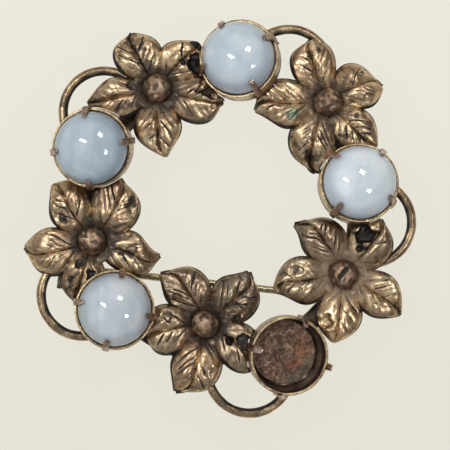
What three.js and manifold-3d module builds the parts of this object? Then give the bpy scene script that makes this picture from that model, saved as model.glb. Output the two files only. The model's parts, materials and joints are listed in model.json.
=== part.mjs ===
// Wreath brooch: five cast flowers and five round cup settings stand in turn on a flat back ring.
// Four cups hold a domed glass cabochon and one is empty. Wire loops bridge the outside of each gap
// between the flower-and-cup pairs. A tube hinge and a C catch on the back carry the pin stem.
// Millimetres, +Z towards the wearer's front, the brooch lying on its back.

import * as THREE from 'three';
import { mergeVertices } from 'three/addons/utils/BufferGeometryUtils.js';
import Module from 'manifold-3d';

// Fits
const solderGap = 0.05;        // between pieces that are soldered or cemented together
const runningGap = 0.06;       // radial clearance of the hinge rivet in the moving knuckle
const sideGap = 0.12;          // between neighbouring knuckles, and from knuckle to plate and stem

// Back ring
const ringInner = 17.45;
const ringWidth = 2.6;
const ringThickness = 1.0;
const ringBevel = 0.15;

// Flowers
const petalLength = 9.3;
const petalWidth = 6.5;
const petalThickness = 0.8;
const petalRoot = 1.0;         // height of a petal's top face at the hub
const petalArch = 2.3;         // how far a petal rises between hub and tip
const petalEdgeDrop = 0.8;     // how far its long edges fall below its middle
const petalTip = 0.15;         // half the width of the point
const petalLean = 1.15;        // above 1, a petal is widest past its middle
const petalFullness = 0.7;     // below 1, its outline is rounder than a sine
const petalArchSpan = 0.85;    // share of a whole arch between hub and tip
const hubRadius = 3.5;
const hubHeight = 1.3;
const beadRadius = 1.95;
const beadSink = 0.25;         // metal left under the bead

// Cup settings and cabochons
const stoneRadius = 5.0;
const stoneBand = 2.4;         // straight side below the dome
const stoneDome = 3.6;
const stoneBevel = 0.25;
const cupWall = 0.42;
const cupFloor = 0.6;
const cupDepth = 2.8;          // floor to rim
const cupCorner = 0.75;        // slope between floor and wall, outside and inside
const cupLift = 0.35;          // lowest point of a cup above the ring
const footRadius = 1.25;       // solder foot between ring and cup
const cementDepth = 0.75;      // cement bed under a cabochon
const residueDepth = 0.4;      // what is left of the bed in the empty cup
const prongWidth = 1.25;
const prongThickness = 0.62;
const prongStandoff = 0.4;     // outer face of a prong beyond the cup wall
const prongRoot = 1.2;         // where a prong leaves the wall, above the cup's underside
const prongReach = 38;         // degrees up the dome where a prong ends

// Wire loops
const loopWire = 1.3;
const loopHeight = 1.55;       // wire centre above the ring

// Pin. The stem lies along +X of a frame turned by pinTurn about the wreath's centre.
const pinTurn = -6.3;
const pinOffset = 8.97;        // stem line below the wreath's centre
const hingeOverhang = 3.5;     // hinge axis outside the ring's middle line
const hingePlateLength = 6.0;
const hingePlateWidth = 6.0;
const hingePlateThickness = 0.6;
const hingePlateMargin = 1.65; // plate past the hinge axis
const knuckleRadius = 1.2;
const outerKnuckleLength = 1.6;
const webWidth = 1.7;          // block under each outer knuckle
const rivetRadius = 0.45;
const rivetEnd = 0.25;         // rivet standing out of each outer knuckle
const stemRadius = 0.52;
const stemTipRadius = 0.12;
const stemTaper = 7;
const stemOvershoot = 2.6;     // stem past the catch
const latchTravel = 1.65;      // sideways spring of the stem from rest into the catch
const catchWidth = 1.8;
const catchInner = 1.1;
const catchStrip = 0.45;
const catchLip = 20;           // degrees the catch's lip curls up past its lowest point

// Fineness of the faceted surfaces
const ringSegments = 48;
const roundSegments = 24;
const domeSteps = 5;
const prongSteps = 3;
const beadSegments = 14;
const beadRings = 9;
const petalStepsLong = 6;
const petalStepsAcross = 4;
const loopSteps = 16;
const wireSegments = 4;        // per quarter of the wire
const footSegments = 16;
const knuckleSegments = 20;
const stemSegments = 14;
const hookSegments = 12;
const weldDistance = 1e-5;

// Layout. Every piece stands by its direction in degrees from the wreath's centre and its outset
// from the ring's middle line.
// petals: direction, share of petalLength, share of petalWidth, sideways bend of the tip
const flowers = [
  {
    name: 'flower_1',
    direction: 116,
    outset: 1.35,
    petals: [
      [114, 0.88, 1.02, 0],
      [47, 0.91, 0.94, 0],
      [-15, 1, 0.95, 1],
      [-89, 1.02, 1.1, 1.1],
      [195, 1.06, 0.9, -0.5],
    ],
  },
  {
    name: 'flower_2',
    direction: 47.7,
    outset: 3.1,
    petals: [
      [110, 0.95, 1.05, -0.8],
      [31, 0.8, 1.02, -2.1],
      [-45, 0.98, 1.02, 0.4],
      [250, 1.04, 0.98, 1.9],
      [182, 1.09, 1.02, 0.9],
    ],
  },
  {
    name: 'flower_3',
    direction: 189.5,
    outset: -0.76,
    petals: [
      [125, 1.02, 1, 0],
      [57, 1, 0.96, 1.6],
      [-17, 1.02, 1, 0.9],
      [255, 0.94, 0.94, 0],
      [192, 0.99, 1.08, -1.2],
    ],
  },
  {
    name: 'flower_4',
    direction: -24,
    outset: -0.32,
    petals: [
      [121, 0.99, 0.98, 2.4],
      [46, 0.97, 0.98, 1.6],
      [-29, 1.03, 0.98, -1.1],
      [264, 1.02, 1.06, -0.4],
      [190, 1.07, 1.06, 0.7],
    ],
  },
  {
    name: 'flower_5',
    direction: -98.7,
    outset: -4.21,
    petals: [
      [120, 0.97, 1, 2],
      [40, 0.99, 0.96, 1.7],
      [-38, 0.97, 1.05, -1.2],
      [257, 1.07, 1.04, -2],
      [190, 0.88, 1.05, 0.5],
    ],
  },
];
// lean: direction and degrees of the cup's axis off +Z
// prongs: their directions; spread: degrees each is bent open at the rim
const cups = [
  {
    name: 'cup_1',
    stone: 'cabochon_1',
    direction: 83.7,
    outset: 3.35,
    lean: [140, 15],
    prongs: [117, 29, -60, 198],
    spread: [0, 0, 0, 0],
  },
  {
    name: 'cup_2',
    stone: 'cabochon_2',
    direction: 151.1,
    outset: 1.44,
    lean: [205, 8],
    prongs: [97, 10, 268, 186],
    spread: [0, 0, 0, 0],
  },
  {
    name: 'cup_3',
    stone: 'cabochon_3',
    direction: 220.4,
    outset: 0.32,
    lean: [60, 5],
    prongs: [78, -11, 257, 168],
    spread: [0, 0, 0, 0],
  },
  {
    name: 'cup_4',
    stone: 'cabochon_4',
    direction: 14.9,
    outset: 0.8,
    lean: [55, 10],
    prongs: [52, -31, 230, 135],
    spread: [0, 0, 0, 0],
  },
  {
    name: 'cup_5',
    stone: null,
    direction: -63.3,
    outset: 2.1,
    lean: [-15, 12],
    prongs: [66, 162, 257, 346],
    spread: [12, 0, 26, 32],
  },
];
// fromFlower and fromCup: distance and direction of the loop's ends from the centres of its flower
// and its cup. bulge: how far the arc stands out past the straight line between its ends
const loops = [
  { name: 'loop_1', flower: 0, cup: 1, fromFlower: [4.7, 160], fromCup: [4.4, 143], bulge: 3.95 },
  { name: 'loop_2', flower: 1, cup: 0, fromFlower: [3.9, 86], fromCup: [3.9, 41], bulge: 3.7 },
  { name: 'loop_3', flower: 2, cup: 2, fromFlower: [6.8, 214], fromCup: [4.1, 233], bulge: 4.3 },
  { name: 'loop_4', flower: 3, cup: 3, fromFlower: [4.5, 19], fromCup: [4.6, -7], bulge: 3.9 },
  { name: 'loop_5', flower: 4, cup: 4, fromFlower: [7.6, -86], fromCup: [4.8, 266], bulge: 3.95 },
];

const finishes = {
  brass: { color: 0x8a6f4a, roughness: 0.42, metalness: 1 },
  darkBrass: { color: 0x4a3b2b, roughness: 0.55, metalness: 1 },
  stem: { color: 0xa8965c, roughness: 0.35, metalness: 1 },
  glass: { color: 0xc4d2dc, roughness: 0.08, metalness: 0 },
  cement: { color: 0x6b4a3c, roughness: 0.95, metalness: 0 },
};

const wasm = await Module();
wasm.setup();

// Sizes that follow from the driving ones
const radians = THREE.MathUtils.degToRad;
const ringMiddle = ringInner + ringWidth / 2;
const cupInner = stoneRadius + solderGap;
const cupOuter = cupInner + cupWall;
const cupHeight = cupFloor + cupDepth;
const cementRadius = cupInner - cupCorner - solderGap;
const stoneBase = cupFloor + cementDepth + solderGap;
const girdle = stoneBase + stoneBand;
const pinHeight = -(hingePlateThickness + knuckleRadius);
const hingeX = -Math.sqrt(ringMiddle ** 2 - pinOffset ** 2) - hingeOverhang;
const catchX = Math.sqrt(ringMiddle ** 2 - (pinOffset - latchTravel) ** 2);

// Solid helpers
function toSolid(geometry) {
  const bare = geometry.clone();
  bare.deleteAttribute('normal');
  bare.deleteAttribute('uv');
  const merged = mergeVertices(bare, weldDistance);
  const vertProperties = new Float32Array(merged.attributes.position.array);
  const triVerts = new Uint32Array(merged.index.array);
  return new wasm.Manifold(new wasm.Mesh({ numProp: 3, vertProperties, triVerts }));
}

function toGeometry(solid) {
  const mesh = solid.getMesh();
  const corners = new Float32Array(mesh.vertProperties);
  const triangles = new Uint32Array(mesh.triVerts);
  const geometry = new THREE.BufferGeometry();
  geometry.setAttribute('position', new THREE.BufferAttribute(corners, 3));
  geometry.setIndex(new THREE.BufferAttribute(triangles, 1));
  geometry.computeVertexNormals();
  return geometry;
}

function join(solids) {
  return solids.reduce((sum, solid) => sum.add(solid));
}

function cut(solid, cutters) {
  return cutters.reduce((rest, cutter) => rest.subtract(cutter), solid);
}

// A cut can leave a loose sliver beyond the cutter; the piece itself is the largest part.
function largestPart(solid) {
  const parts = solid.decompose();
  return parts.reduce((best, part) => (part.volume() > best.volume() ? part : best));
}

function lathe(points, segments) {
  const outline = points.map(([radius, height]) => new THREE.Vector2(radius, height));
  const geometry = new THREE.LatheGeometry(outline, segments);
  geometry.rotateX(Math.PI / 2);
  return geometry;
}

function block(sizeX, sizeY, sizeZ, x, y, z) {
  const geometry = new THREE.BoxGeometry(sizeX, sizeY, sizeZ);
  geometry.translate(x, y, z);
  return geometry;
}

function upright(radius, height, segments, x, y, bottom) {
  const geometry = new THREE.CylinderGeometry(radius, radius, height, segments);
  geometry.rotateX(Math.PI / 2);
  geometry.translate(x, y, bottom + height / 2);
  return geometry;
}

function spot(reach, direction) {
  const turn = radians(direction);
  return new THREE.Vector3(reach * Math.cos(turn), reach * Math.sin(turn), 0);
}

function standing({ direction, outset }) {
  return spot(ringMiddle + outset, direction).setZ(ringThickness);
}

// Back ring: front face at z = ringThickness, rear face at z = 0
function ringGeometry() {
  const outer = ringInner + ringWidth;
  return lathe([
    [ringInner, ringBevel],
    [ringInner + ringBevel, 0],
    [outer - ringBevel, 0],
    [outer, ringBevel],
    [outer, ringThickness - ringBevel],
    [outer - ringBevel, ringThickness],
    [ringInner + ringBevel, ringThickness],
    [ringInner, ringThickness - ringBevel],
    [ringInner, ringBevel],
  ], ringSegments);
}

// Cups. A cup leans about its rim's centre, and in its own frame z = 0 is its underside.
function rimHeight(cup) {
  const tilt = radians(cup.lean[1]);
  return cupLift + cupHeight * Math.cos(tilt) + (cupOuter - cupCorner) * Math.sin(tilt);
}

function cupPlace(cup) {
  const [leanDirection, leanAngle] = cup.lean;
  const rimCentre = standing(cup);
  rimCentre.z += rimHeight(cup);
  const leanAxis = spot(1, leanDirection + 90);
  return new THREE.Matrix4().makeTranslation(rimCentre)
    .multiply(new THREE.Matrix4().makeRotationAxis(leanAxis, radians(leanAngle)))
    .multiply(new THREE.Matrix4().makeTranslation(0, 0, -cupHeight));
}

function placedSolid(geometry, cup) {
  return toSolid(geometry.applyMatrix4(cupPlace(cup)));
}

function cupShell() {
  return lathe([
    [0, 0],
    [cupOuter - cupCorner, 0],
    [cupOuter, cupCorner],
    [cupOuter, cupHeight],
    [cupInner, cupHeight],
    [cupInner, cupFloor + cupCorner],
    [cupInner - cupCorner, cupFloor],
    [0, cupFloor],
  ], roundSegments);
}

function cupOutside(grow) {
  return lathe([
    [0, -grow],
    [cupOuter - cupCorner + grow, -grow],
    [cupOuter + grow, cupCorner],
    [cupOuter + grow, cupHeight + grow],
    [0, cupHeight + grow],
  ], roundSegments);
}

function stoneGeometry(grow) {
  const radius = stoneRadius + grow;
  const points = [
    [0, stoneBase - grow],
    [radius - stoneBevel, stoneBase - grow],
    [radius, stoneBase + stoneBevel],
  ];
  for (let step = 0; step < domeSteps; step += 1) {
    const rise = (Math.PI / 2) * (step / domeSteps);
    points.push([radius * Math.cos(rise), girdle + (stoneDome + grow) * Math.sin(rise)]);
  }
  points.push([0, girdle + stoneDome + grow]);
  return lathe(points, roundSegments);
}

function cementGeometry(depth) {
  const bottom = cupFloor + solderGap;
  const top = cupFloor + depth;
  return lathe([[0, bottom], [cementRadius, bottom], [cementRadius, top], [0, top]], roundSegments);
}

// A prong's side outline runs up the outside of the wall and over the dome. A spread prong is bent
// open at the rim. The outline is drawn as [distance from the cup's axis, height].
function prongGeometry(angle, spread, grow) {
  const inner = stoneRadius + solderGap - grow;
  const outer = cupOuter + prongStandoff + grow;
  const innerDome = stoneDome + solderGap - grow;
  const outerDome = stoneDome + solderGap + prongThickness + grow;
  const points = [[inner + cupWall / 2, prongRoot - grow], [outer, prongRoot + prongThickness]];
  for (let step = 0; step <= prongSteps; step += 1) {
    const turn = radians(prongReach) * (step / prongSteps);
    points.push([outer * Math.cos(turn), girdle + outerDome * Math.sin(turn)]);
  }
  for (let step = prongSteps; step >= 0; step -= 1) {
    const turn = radians(prongReach) * (step / prongSteps);
    points.push([inner * Math.cos(turn), girdle + innerDome * Math.sin(turn)]);
  }
  const open = radians(spread);
  const bent = points.map(([reach, height]) => {
    const out = reach - cupOuter;
    const up = height - cupHeight;
    if (up <= 0) return new THREE.Vector2(reach, height);
    return new THREE.Vector2(
      cupOuter + out * Math.cos(open) + up * Math.sin(open),
      cupHeight - out * Math.sin(open) + up * Math.cos(open),
    );
  });
  const width = prongWidth + 2 * grow;
  const outline = new THREE.Shape(bent);
  const geometry = new THREE.ExtrudeGeometry(outline, { depth: width, bevelEnabled: false });
  geometry.translate(0, 0, -width / 2);
  geometry.rotateX(Math.PI / 2);
  geometry.rotateZ(radians(angle));
  return geometry;
}

function prongSolids(cup, grow) {
  return cup.prongs.map((angle, i) => {
    const prong = prongGeometry(angle, cup.spread[i], grow);
    return placedSolid(prong, cup);
  });
}

// The foot stands on the ring, as near to the cup's centre as the ring's width allows.
function footSolid(cup, grow) {
  const shift = THREE.MathUtils.clamp(cup.outset, -ringWidth / 3, ringWidth / 3);
  const place = spot(ringMiddle + shift, cup.direction);
  const height = rimHeight(cup) - cupDepth / 2;
  const radius = footRadius + grow;
  return toSolid(upright(radius, height, footSegments, place.x, place.y, ringThickness));
}

function cupSolid(cup) {
  const core = placedSolid(cupOutside(-cupFloor / 2), cup);
  const foot = footSolid(cup, 0).subtract(core);
  return join([placedSolid(cupShell(), cup), foot, ...prongSolids(cup, 0)]);
}

function cupCutter(cup) {
  const body = placedSolid(cupOutside(solderGap), cup);
  const stone = placedSolid(stoneGeometry(solderGap), cup);
  return join([body, stone, footSolid(cup, solderGap), ...prongSolids(cup, solderGap)]);
}

// Flowers. A petal is a bent leaf: narrow at the hub, widest past its middle, pointed at the tip.
function petalGeometry([direction, lengthShare, widthShare, bend], grow) {
  const geometry = new THREE.BoxGeometry(1, 1, 1, petalStepsLong, petalStepsAcross, 1);
  const position = geometry.attributes.position;
  const turn = radians(direction);
  for (let i = 0; i < position.count; i += 1) {
    const along = position.getX(i) + 0.5;
    const across = position.getY(i) * 2;
    const leaf = Math.max(0, Math.sin(Math.PI * along ** petalLean)) ** petalFullness;
    const half = Math.max((leaf * petalWidth * widthShare) / 2, petalTip) + grow;
    const forward = petalLength * lengthShare * along + grow * along;
    const sideways = half * across + bend * along ** 3;
    const ridge = petalRoot + petalArch * Math.sin(petalArchSpan * Math.PI * along);
    const top = ridge - petalEdgeDrop * leaf * across ** 2 + grow;
    position.setXYZ(
      i,
      forward * Math.cos(turn) - sideways * Math.sin(turn),
      forward * Math.sin(turn) + sideways * Math.cos(turn),
      position.getZ(i) > 0 ? top : top - petalThickness - 2 * grow,
    );
  }
  return geometry;
}

function flowerBlank(flower, grow) {
  const place = standing(flower);
  const hub = toSolid(upright(hubRadius + grow, hubHeight + grow, roundSegments, 0, 0, 0));
  const petals = flower.petals.map((petal) => toSolid(petalGeometry(petal, grow)));
  return join([hub, ...petals]).translate(place.x, place.y, place.z);
}

function beadGeometry(flower, grow) {
  const centre = standing(flower);
  const geometry = new THREE.SphereGeometry(beadRadius + grow, beadSegments, beadRings);
  geometry.rotateX(Math.PI / 2);
  geometry.translate(centre.x, centre.y, centre.z + beadSink + beadRadius);
  return geometry;
}

function flowerSolid(flower, cutters) {
  const size = 4 * petalLength;
  const place = standing(flower);
  const ground = toSolid(block(size, size, size, place.x, place.y, ringThickness - size / 2));
  const bead = toSolid(beadGeometry(flower, solderGap));
  return largestPart(cut(flowerBlank(flower, 0), [ground, bead, ...cutters]));
}

// A loop is an arc of wire from under a flower's petals to the side of a cup.
class WireArc extends THREE.Curve {
  constructor(start, end, bulge) {
    super();
    const half = start.distanceTo(end) / 2;
    const outward = new THREE.Vector3(start.y - end.y, end.x - start.x, 0).normalize();
    if (outward.dot(start) < 0) outward.negate();
    this.radius = (half * half + bulge * bulge) / (2 * bulge);
    this.centre = start.clone().lerp(end, 0.5).addScaledVector(outward, bulge - this.radius);
    this.first = Math.atan2(start.y - this.centre.y, start.x - this.centre.x);
    const last = Math.atan2(end.y - this.centre.y, end.x - this.centre.x);
    this.sweep = THREE.MathUtils.euclideanModulo(last - this.first, 2 * Math.PI);
    if (outward.dot(this.getPoint(0.5).sub(this.centre)) < 0) this.sweep -= 2 * Math.PI;
  }

  getPoint(t, target = new THREE.Vector3()) {
    const angle = this.first + this.sweep * t;
    target.set(Math.cos(angle), Math.sin(angle), 0);
    return target.multiplyScalar(this.radius).add(this.centre);
  }
}

function loopSolid(loop, cutters) {
  const flowerEnd = standing(flowers[loop.flower]).add(spot(...loop.fromFlower));
  flowerEnd.z += loopHeight;
  const cupEnd = standing(cups[loop.cup]).add(spot(...loop.fromCup));
  cupEnd.z += loopHeight;
  const section = new THREE.Shape().absarc(0, 0, loopWire / 2, 0, 2 * Math.PI);
  const geometry = new THREE.ExtrudeGeometry(section, {
    extrudePath: new WireArc(flowerEnd, cupEnd, loop.bulge),
    steps: loopSteps,
    curveSegments: wireSegments,
    bevelEnabled: false,
  });
  return largestPart(cut(toSolid(geometry), cutters));
}

// Pin, in the turned frame: x along the stem, y across it, z = 0 at the ring's rear face
function tubeAcross(radius, length, x, y, z) {
  const geometry = new THREE.CylinderGeometry(radius, radius, length, knuckleSegments);
  geometry.translate(x, y, z);
  return toSolid(geometry);
}

function hingePlateSolid() {
  const middle = hingeX - hingePlateMargin + hingePlateLength / 2;
  const plate = toSolid(block(
    hingePlateLength, hingePlateWidth, hingePlateThickness,
    middle, -pinOffset, -hingePlateThickness / 2,
  ));
  const webHeight = hingePlateThickness / 2 + knuckleRadius;
  const sides = [-1, 1].map((side) => {
    const y = -pinOffset + side * (hingePlateWidth - outerKnuckleLength) / 2;
    const webMiddle = pinHeight + webHeight / 2;
    const web = toSolid(block(webWidth, outerKnuckleLength, webHeight, hingeX, y, webMiddle));
    return tubeAcross(knuckleRadius, outerKnuckleLength, hingeX, y, pinHeight).add(web);
  });
  const boreRadius = rivetRadius + solderGap;
  const bore = tubeAcross(boreRadius, 2 * hingePlateWidth, hingeX, -pinOffset, pinHeight);
  return join([plate, ...sides]).subtract(bore);
}

function rivetSolid() {
  const length = hingePlateWidth + 2 * rivetEnd;
  return tubeAcross(rivetRadius, length, hingeX, -pinOffset, pinHeight);
}

function middleKnuckleSolid() {
  const length = hingePlateWidth - 2 * (outerKnuckleLength + sideGap);
  const body = tubeAcross(knuckleRadius - sideGap, length, hingeX, -pinOffset, pinHeight);
  const bore = tubeAcross(rivetRadius + runningGap, 2 * length, hingeX, -pinOffset, pinHeight);
  return body.subtract(bore);
}

function stemGeometry() {
  const root = knuckleRadius;
  const tip = catchX - hingeX + stemOvershoot;
  const geometry = lathe([
    [0, root],
    [stemRadius, root],
    [stemRadius, tip - stemTaper],
    [stemTipRadius, tip - stemTipRadius],
    [0, tip],
  ], stemSegments);
  geometry.rotateY(Math.PI / 2);
  geometry.translate(hingeX, -pinOffset, pinHeight);
  return geometry;
}

function catchSolid() {
  const outer = catchInner + catchStrip;
  const end = radians(-90 - catchLip);
  const hook = new THREE.Shape();
  hook.absarc(0, 0, outer, Math.PI / 2, end, true);
  hook.absarc(0, 0, catchInner, end, Math.PI / 2, false);
  hook.closePath();
  const geometry = new THREE.ExtrudeGeometry(hook, {
    depth: catchWidth,
    bevelEnabled: false,
    curveSegments: hookSegments,
  });
  geometry.rotateX(Math.PI / 2);
  geometry.rotateZ(Math.PI / 2);
  geometry.translate(catchX - catchWidth / 2, latchTravel - pinOffset, pinHeight);
  const tabHeight = -pinHeight - catchInner;
  const tab = block(catchWidth, 2 * outer, tabHeight, catchX, latchTravel - pinOffset, -tabHeight / 2);
  return toSolid(geometry).add(toSolid(tab));
}

// Assembly
function piece(name, geometry, finish) {
  const mesh = new THREE.Mesh(geometry, new THREE.MeshStandardMaterial(finishes[finish]));
  mesh.name = name;
  return mesh;
}

const wreath = new THREE.Group();
wreath.add(piece('back_ring', ringGeometry(), 'darkBrass'));

const cupCutters = cups.map(cupCutter);
for (const cup of cups) {
  wreath.add(piece(cup.name, toGeometry(cupSolid(cup)), 'darkBrass'));
  const bed = piece(`cement_${cup.name}`, cementGeometry(cup.stone ? cementDepth : residueDepth), 'cement');
  bed.applyMatrix4(cupPlace(cup));
  wreath.add(bed);
  if (cup.stone) {
    const stone = piece(cup.stone, stoneGeometry(0), 'glass');
    stone.applyMatrix4(cupPlace(cup));
    wreath.add(stone);
  }
}

flowers.forEach((flower, i) => {
  wreath.add(piece(flower.name, toGeometry(flowerSolid(flower, cupCutters)), 'brass'));
  wreath.add(piece(`flower_bead_${i + 1}`, beadGeometry(flower, 0), 'brass'));
});

const flowerCutters = flowers.map((flower) => flowerBlank(flower, solderGap));
const loopCutters = [...cupCutters, ...flowerCutters];
for (const loop of loops) {
  wreath.add(piece(loop.name, toGeometry(loopSolid(loop, loopCutters)), 'brass'));
}

const pin = new THREE.Group();
pin.rotation.z = radians(pinTurn);
pin.add(piece('hinge_plate', toGeometry(hingePlateSolid()), 'darkBrass'));
pin.add(piece('hinge_rivet', toGeometry(rivetSolid()), 'stem'));
pin.add(piece('hinge_knuckle', toGeometry(middleKnuckleSolid()), 'stem'));
pin.add(piece('pin_stem', stemGeometry(), 'stem'));
pin.add(piece('pin_catch', toGeometry(catchSolid()), 'darkBrass'));
wreath.add(pin);

// The brooch stands on z = 0, centred over the origin.
const brooch = new THREE.Group();
brooch.add(wreath);
const box = new THREE.Box3().setFromObject(brooch, true);
const middle = box.getCenter(new THREE.Vector3());
wreath.position.set(-middle.x, -middle.y, -box.min.z);

export default brooch;
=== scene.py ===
import json
import math
import random

import bmesh
import bpy
import numpy as np
from mathutils import Matrix, Vector, noise


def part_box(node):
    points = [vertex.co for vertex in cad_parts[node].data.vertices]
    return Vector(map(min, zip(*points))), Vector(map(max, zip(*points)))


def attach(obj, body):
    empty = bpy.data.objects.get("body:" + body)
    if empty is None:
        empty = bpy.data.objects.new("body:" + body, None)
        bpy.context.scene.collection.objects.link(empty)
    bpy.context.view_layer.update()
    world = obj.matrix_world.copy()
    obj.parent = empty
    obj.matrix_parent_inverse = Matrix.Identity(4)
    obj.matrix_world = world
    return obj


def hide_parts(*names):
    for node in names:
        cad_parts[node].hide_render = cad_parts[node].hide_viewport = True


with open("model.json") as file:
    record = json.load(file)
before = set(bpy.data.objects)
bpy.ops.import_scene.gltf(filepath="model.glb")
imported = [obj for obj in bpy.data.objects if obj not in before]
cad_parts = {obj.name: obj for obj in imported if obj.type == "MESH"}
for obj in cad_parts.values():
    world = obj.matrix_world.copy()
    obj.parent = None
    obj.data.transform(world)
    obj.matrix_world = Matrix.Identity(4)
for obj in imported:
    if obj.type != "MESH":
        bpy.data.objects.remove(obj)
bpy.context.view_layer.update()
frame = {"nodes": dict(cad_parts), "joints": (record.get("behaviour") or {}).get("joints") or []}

# Pieces are shaped in millimetres in the frame's own axes. finishPiece() turns them into metres.
milli = 0.001
rootBody = "wreath"
knuckleBody = "hinge_knuckle"
stemBody = "pin_stem"


# Handling of objects and meshes

def deselectAll():
    bpy.ops.object.select_all(action="DESELECT")


def pickUp(piece):
    deselectAll()
    piece.select_set(True)
    bpy.context.view_layer.objects.active = piece


def newest(name):
    piece = bpy.context.active_object
    piece.name = name
    piece.data.name = name
    return piece


def openMesh(piece, selectMode="VERT"):
    pickUp(piece)
    bpy.ops.object.mode_set(mode="EDIT")
    bpy.ops.mesh.select_mode(type=selectMode)


def openWhole(piece, selectMode="VERT"):
    openMesh(piece, selectMode)
    bpy.ops.mesh.select_all(action="SELECT")


def closeMesh():
    bpy.ops.object.mode_set(mode="OBJECT")


def cleanMesh(piece, mergeDistance=0.002):
    openWhole(piece)
    bpy.ops.mesh.remove_doubles(threshold=mergeDistance)
    bpy.ops.mesh.normals_make_consistent(inside=False)
    closeMesh()


def applyModifier(piece, kind, **settings):
    pickUp(piece)
    bpy.ops.object.modifier_add(type=kind)
    modifier = piece.modifiers[-1]
    for key, value in settings.items():
        setattr(modifier, key, value)
    bpy.ops.object.modifier_apply(modifier=modifier.name)


def subdivide(piece, levels):
    applyModifier(piece, "SUBSURF", levels=levels, render_levels=levels)


def bevelEdges(piece, width, segments=2, angle=30):
    applyModifier(piece, "BEVEL", width=width, segments=segments, limit_method="ANGLE",
                  angle_limit=math.radians(angle))


def smoothShade(piece, angle=38):
    pickUp(piece)
    bpy.ops.object.shade_smooth_by_angle(angle=math.radians(angle))


def movePiece(piece, matrix):
    # the place goes into the mesh and the object stays at the origin
    piece.matrix_world = matrix
    pickUp(piece)
    bpy.ops.object.transform_apply(location=True, rotation=True, scale=True)


def joinPieces(pieces, name):
    pickUp(pieces[0])
    for piece in pieces[1:]:
        piece.select_set(True)
    if len(pieces) > 1:
        bpy.ops.object.join()
    return newest(name)


def copyPiece(piece, name):
    twin = piece.copy()
    twin.data = piece.data.copy()
    twin.name = name
    twin.data.name = name
    bpy.context.scene.collection.objects.link(twin)
    return twin


def meshPoints(piece):
    points = np.empty(len(piece.data.vertices) * 3, np.float32)
    piece.data.vertices.foreach_get("co", points)
    return points.reshape(-1, 3).astype(float)


def setMeshPoints(piece, points):
    piece.data.vertices.foreach_set("co", points.astype(np.float32).ravel())
    piece.data.update()


def reachOf(points):
    # distance from the piece's own axis
    return np.hypot(points[:, 0], points[:, 1])


def paint(piece, name, values):
    # a number for each vertex, or one for all, read by the materials
    layer = piece.data.attributes.get(name) or piece.data.attributes.new(name, "FLOAT", "POINT")
    values = np.broadcast_to(np.clip(values, 0, 1), len(piece.data.vertices))
    layer.data.foreach_set("value", values.astype(np.float32))


def noiseAt(points, size, seed):
    shift = Vector((seed * 7.31, seed * 3.17, seed * 5.73))
    return np.array([noise.noise(Vector(point) / size + shift) for point in points])


def roughen(piece, depths, seed):
    # depths: pairs of bump size and height, in millimetres, moved along the normals
    points = meshPoints(piece)
    normals = np.array([vertex.normal[:] for vertex in piece.data.vertices])
    moved = points.copy()
    for number, (size, height) in enumerate(depths):
        moved += normals * (noiseAt(points, size, seed + number) * height)[:, None]
    setMeshPoints(piece, moved)


def smoothStep(low, high, values):
    share = np.clip((values - low) / (high - low), 0, 1)
    return share * share * (3 - 2 * share)


def finishPiece(piece, materials, body, slot, *nodes):
    movePiece(piece, Matrix.Scale(milli, 4))
    marks = [min(face.material_index, len(materials) - 1) for face in piece.data.polygons]
    piece.data.materials.clear()
    for finish in materials:
        piece.data.materials.append(finish)
    piece.data.polygons.foreach_set("material_index", marks)
    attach(piece, body)
    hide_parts(*nodes)


def fitPiece(piece, tarnishAndShade, angle, place, finish, body, slot, node):
    paint(piece, "tarnishAndShade", tarnishAndShade)
    smoothShade(piece, angle)
    movePiece(piece, place)
    finishPiece(piece, [brass[finish]], body, slot, node)


def block(name, size, middle, bevel):
    bpy.ops.mesh.primitive_cube_add(size=1, location=(0, 0, 0))
    piece = newest(name)
    openWhole(piece)
    bpy.ops.transform.resize(value=size)
    bpy.ops.transform.translate(value=middle)
    closeMesh()
    bevelEdges(piece, bevel)
    return piece


def turned(name, profile, steps):
    # a profile of (radius, height) points is drawn with one vertex and spun round Z
    deselectAll()
    bpy.ops.mesh.primitive_plane_add(size=1, location=(0, 0, 0))
    piece = newest(name)
    openWhole(piece)
    bpy.ops.mesh.merge(type="CENTER")
    bpy.ops.transform.translate(value=(profile[0][0], 0, profile[0][1]))
    for (radius, height), (nextRadius, nextHeight) in zip(profile, profile[1:]):
        step = (nextRadius - radius, 0, nextHeight - height)
        bpy.ops.mesh.extrude_vertices_move(TRANSFORM_OT_translate={"value": step})
    bpy.ops.mesh.select_all(action="SELECT")
    bpy.ops.mesh.spin(steps=steps, angle=2 * math.pi, center=(0, 0, 0), axis=(0, 0, 1))
    closeMesh()
    cleanMesh(piece)
    return piece


def boxOf(node):
    low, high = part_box(node)
    return low / milli, high / milli


def middleOf(node):
    low, high = boxOf(node)
    return (low + high) / 2


def compass(direction, reach=1.0):
    turn = math.radians(direction)
    return Vector((reach * math.cos(turn), reach * math.sin(turn), 0))


# Materials

def plug(socket, value):
    # another node's socket is linked, a number or colour is set
    if isinstance(value, bpy.types.NodeSocket):
        socket.id_data.links.new(value, socket)
    else:
        socket.default_value = value


def plugAll(sockets, values):
    for name, value in values.items():
        plug(sockets[name], value)


def addNode(tree, kind, inputs=None, **settings):
    node = tree.nodes.new("ShaderNode" + kind)
    for key, value in settings.items():
        setattr(node, key, value)
    plugAll(node.inputs, inputs or {})
    return node


def mixColour(tree, share, first, second, blend="MIX"):
    first, second = ((*tone, 1) if isinstance(tone, tuple) else tone for tone in (first, second))
    values = {0: share, 6: first, 7: second}
    return addNode(tree, "Mix", values, data_type="RGBA", blend_type=blend).outputs[2]


def calculate(tree, operation, first, second=0.0, third=0.0, clamp=False):
    values = {0: first, 1: second, 2: third}
    return addNode(tree, "Math", values, operation=operation, use_clamp=clamp).outputs[0]


def times(tree, value, factor, plus=0.0):
    return calculate(tree, "MULTIPLY_ADD", value, factor, plus)


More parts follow.
